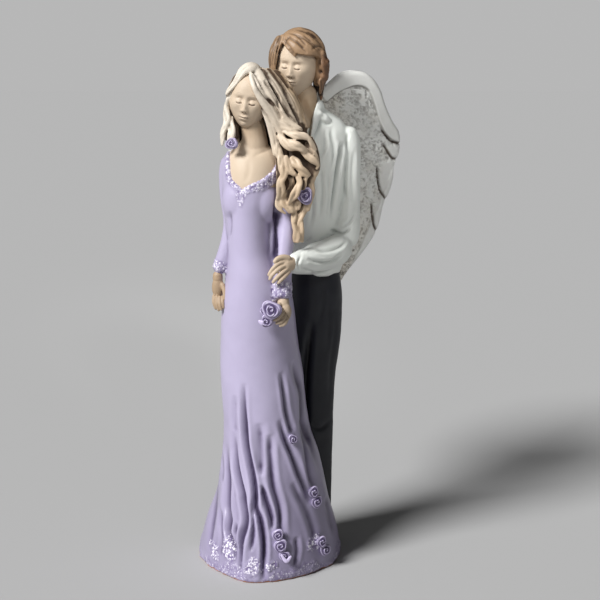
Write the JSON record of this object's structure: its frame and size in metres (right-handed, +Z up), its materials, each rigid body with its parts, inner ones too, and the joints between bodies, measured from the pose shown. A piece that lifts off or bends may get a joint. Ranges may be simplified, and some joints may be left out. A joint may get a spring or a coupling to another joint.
{
  "type": "courting couple figurine",
  "caption": "Standing painted clay figurine of a winged man with his arm round a woman in a long flared gown, for a shelf or table.",
  "frame": {"origin": "on the underside, at the middle of the bounding box", "axes": "+Z up along the figures, -Y towards the viewer of the couple's faces, +X towards the side that the man's left arm is on"},
  "size_m": [0.1497, 0.1367, 0.3853],
  "materials": {
    "painted_clay": "matt paint on fired clay",
    "lilac_paint": "satin lilac paint, glossy at the hem",
    "bare_clay": "bare fired clay, rubbed smooth",
    "pale_hair": "cream wash with brown left in the grooves",
    "brown_hair": "brown wash, darker in the grooves",
    "white_shirt": "satin white paint with a grey-blue shade",
    "dark_trousers": "matt blue-black paint",
    "wing_plaster": "off-white paint, pitted, grey-brown in the pits",
    "rose_glaze": "lilac glaze"
  },
  "bodies": {
    "root": {"courting_couple_figurine": "painted_clay"}
  },
  "joints": []
}
